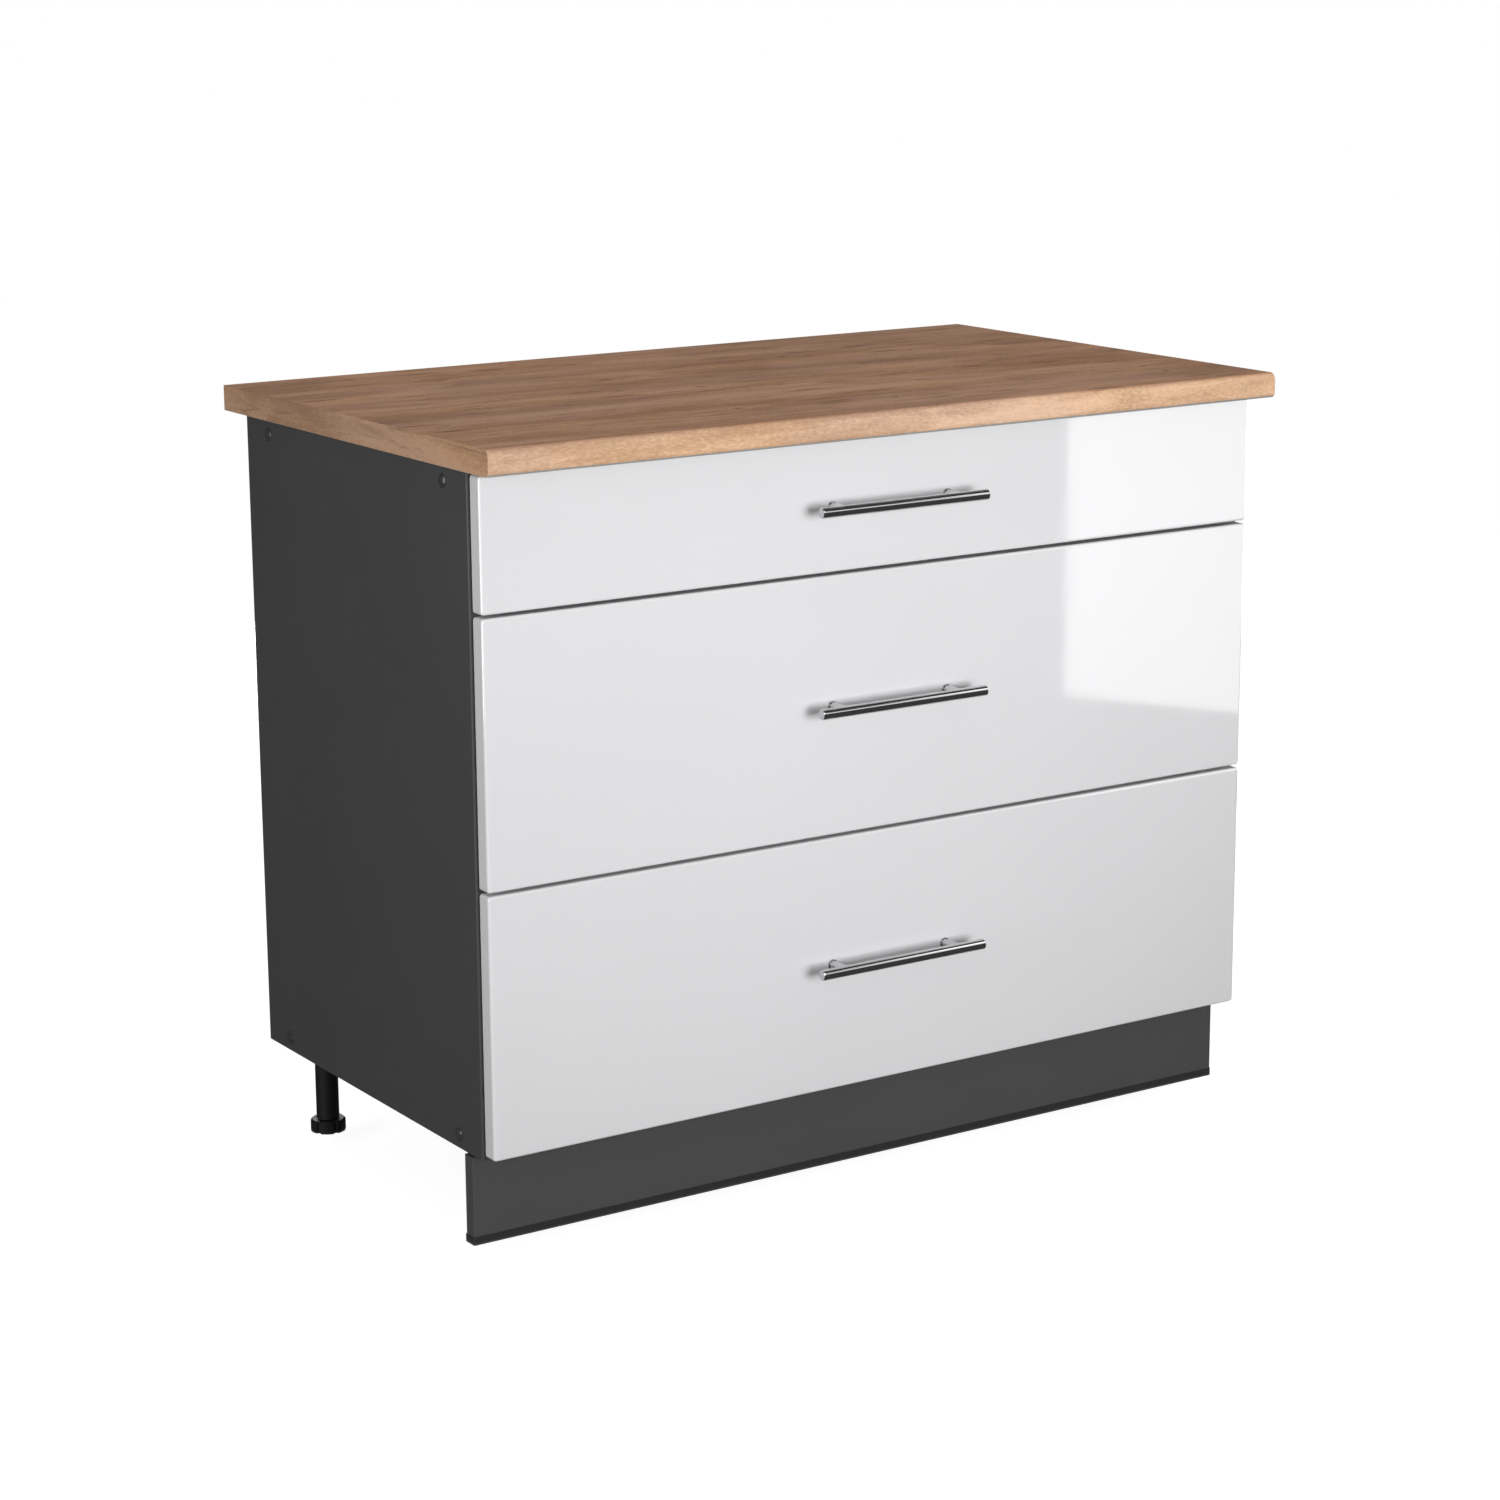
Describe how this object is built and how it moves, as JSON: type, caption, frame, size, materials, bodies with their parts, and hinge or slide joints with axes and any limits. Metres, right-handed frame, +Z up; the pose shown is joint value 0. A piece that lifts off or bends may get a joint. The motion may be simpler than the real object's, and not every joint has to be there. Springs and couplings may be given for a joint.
{
  "type": "kitchen base cabinet",
  "caption": "Kitchen base cabinet with drawers: gloss fronts with bar handles, dark carcass and plinth, wood-look worktop, drawers on roller runners.",
  "frame": {"origin": "on the floor, under the centre of the worktop", "axes": "+X to the cabinet's right seen from the front, +Y to the wall behind, +Z up; the drawers open towards -Y"},
  "size_m": [1.01, 0.6, 0.848],
  "materials": {
    "white_gloss": "high-gloss white foil on fibreboard",
    "anthracite_board": "matt anthracite melamine on chipboard",
    "anthracite_plinth": "matt anthracite laminate on chipboard",
    "grey_hardboard": "lacquered hardboard",
    "oak_worktop": "satin oak-look laminate on chipboard",
    "drawer_board": "pale melamine on chipboard",
    "coated_steel": "white powder coat",
    "roller_nylon": "smooth nylon",
    "handle_chrome": "polished chrome",
    "black_plastic": "moulded black plastic",
    "cap_plastic": "anthracite plastic",
    "seal_strip": "soft dark strip",
    "zinc_screw": "zinc plated",
    "zinc_bracket": "zinc-plated sheet"
  },
  "bodies": {
    "carcass": {"side_panel_left": "anthracite_board", "side_panel_right": "anthracite_board", "plinth_board": "anthracite_plinth", "bottom_panel": "anthracite_board", "top_rail_front": "anthracite_board", "top_rail_back": "anthracite_board", "back_panel": "grey_hardboard", "worktop": "oak_worktop", "plinth_seal": "seal_strip", "screw_caps": "cap_plastic", "plinth_clips": "black_plastic", "leg_sockets": "black_plastic", "confirmat_screws": "zinc_screw", "worktop_screws": "zinc_screw", "runner_screws": "zinc_screw", "runner_left_1": "coated_steel", "runner_right_1": "coated_steel", "runner_left_2": "coated_steel", "runner_right_2": "coated_steel", "runner_left_3": "coated_steel", "runner_right_3": "coated_steel"},
    "foot_front_left": {"foot_front_left": "black_plastic"},
    "foot_front_right": {"foot_front_right": "black_plastic"},
    "foot_back_left": {"foot_back_left": "black_plastic"},
    "foot_back_right": {"foot_back_right": "black_plastic"},
    "drawer_1": {"drawer_side_left_1": "coated_steel", "drawer_side_right_1": "coated_steel", "drawer_base_1": "drawer_board", "drawer_back_1": "drawer_board", "drawer_front_1": "white_gloss", "front_brackets_1": "zinc_bracket", "handle_bar_1": "handle_chrome", "handle_posts_1": "handle_chrome", "handle_screws_1": "zinc_screw"},
    "runner_rollers_1": {"runner_rollers_1": "roller_nylon"},
    "drawer_rollers_1": {"drawer_rollers_1": "roller_nylon"},
    "drawer_2": {"drawer_side_left_2": "coated_steel", "drawer_side_right_2": "coated_steel", "drawer_base_2": "drawer_board", "drawer_back_2": "drawer_board", "drawer_front_2": "white_gloss", "front_brackets_2": "zinc_bracket", "handle_bar_2": "handle_chrome", "handle_posts_2": "handle_chrome", "handle_screws_2": "zinc_screw", "gallery_rails_2": "coated_steel"},
    "runner_rollers_2": {"runner_rollers_2": "roller_nylon"},
    "drawer_rollers_2": {"drawer_rollers_2": "roller_nylon"},
    "drawer_3": {"drawer_side_left_3": "coated_steel", "drawer_side_right_3": "coated_steel", "drawer_base_3": "drawer_board", "drawer_back_3": "drawer_board", "drawer_front_3": "white_gloss", "front_brackets_3": "zinc_bracket", "handle_bar_3": "handle_chrome", "handle_posts_3": "handle_chrome", "handle_screws_3": "zinc_screw", "gallery_rails_3": "coated_steel"},
    "runner_rollers_3": {"runner_rollers_3": "roller_nylon"},
    "drawer_rollers_3": {"drawer_rollers_3": "roller_nylon"}
  },
  "joints": [
    {"name": "drawer_1_slide", "type": "slide", "parent": "carcass", "child": "drawer_1", "axis": [0, -1, 0], "range_m": [0, 0.34]},
    {"name": "runner_rollers_1_spin", "type": "hinge", "parent": "carcass", "child": "runner_rollers_1", "pos_m": [0, -0.2315, 0.7195], "axis": [1, 0, 0], "continuous": true},
    {"name": "drawer_rollers_1_spin", "type": "hinge", "parent": "drawer_1", "child": "drawer_rollers_1", "pos_m": [0, 0.188, 0.717], "axis": [1, 0, 0], "continuous": true},
    {"name": "drawer_2_slide", "type": "slide", "parent": "carcass", "child": "drawer_2", "axis": [0, -1, 0], "range_m": [0, 0.34]},
    {"name": "runner_rollers_2_spin", "type": "hinge", "parent": "carcass", "child": "runner_rollers_2", "pos_m": [0, -0.2315, 0.433], "axis": [1, 0, 0], "continuous": true},
    {"name": "drawer_rollers_2_spin", "type": "hinge", "parent": "drawer_2", "child": "drawer_rollers_2", "pos_m": [0, 0.188, 0.4305], "axis": [1, 0, 0], "continuous": true},
    {"name": "drawer_3_slide", "type": "slide", "parent": "carcass", "child": "drawer_3", "axis": [0, -1, 0], "range_m": [0, 0.34]},
    {"name": "runner_rollers_3_spin", "type": "hinge", "parent": "carcass", "child": "runner_rollers_3", "pos_m": [0, -0.2315, 0.1465], "axis": [1, 0, 0], "continuous": true},
    {"name": "drawer_rollers_3_spin", "type": "hinge", "parent": "drawer_3", "child": "drawer_rollers_3", "pos_m": [0, 0.188, 0.144], "axis": [1, 0, 0], "continuous": true},
    {"name": "foot_front_left_level", "type": "slide", "parent": "carcass", "child": "foot_front_left", "axis": [0, 0, -1], "range_m": [0, 0.015]},
    {"name": "foot_front_right_level", "type": "slide", "parent": "carcass", "child": "foot_front_right", "axis": [0, 0, -1], "range_m": [0, 0.015]},
    {"name": "foot_back_left_level", "type": "slide", "parent": "carcass", "child": "foot_back_left", "axis": [0, 0, -1], "range_m": [0, 0.015]},
    {"name": "foot_back_right_level", "type": "slide", "parent": "carcass", "child": "foot_back_right", "axis": [0, 0, -1], "range_m": [0, 0.015]}
  ],
  "couplings": [
    {"joint": "runner_rollers_1_spin", "follows": "drawer_1_slide", "rad_per_m": 90.909},
    {"joint": "drawer_rollers_1_spin", "follows": "drawer_1_slide", "rad_per_m": 90.909},
    {"joint": "runner_rollers_2_spin", "follows": "drawer_2_slide", "rad_per_m": 90.909},
    {"joint": "drawer_rollers_2_spin", "follows": "drawer_2_slide", "rad_per_m": 90.909},
    {"joint": "runner_rollers_3_spin", "follows": "drawer_3_slide", "rad_per_m": 90.909},
    {"joint": "drawer_rollers_3_spin", "follows": "drawer_3_slide", "rad_per_m": 90.909}
  ]
}
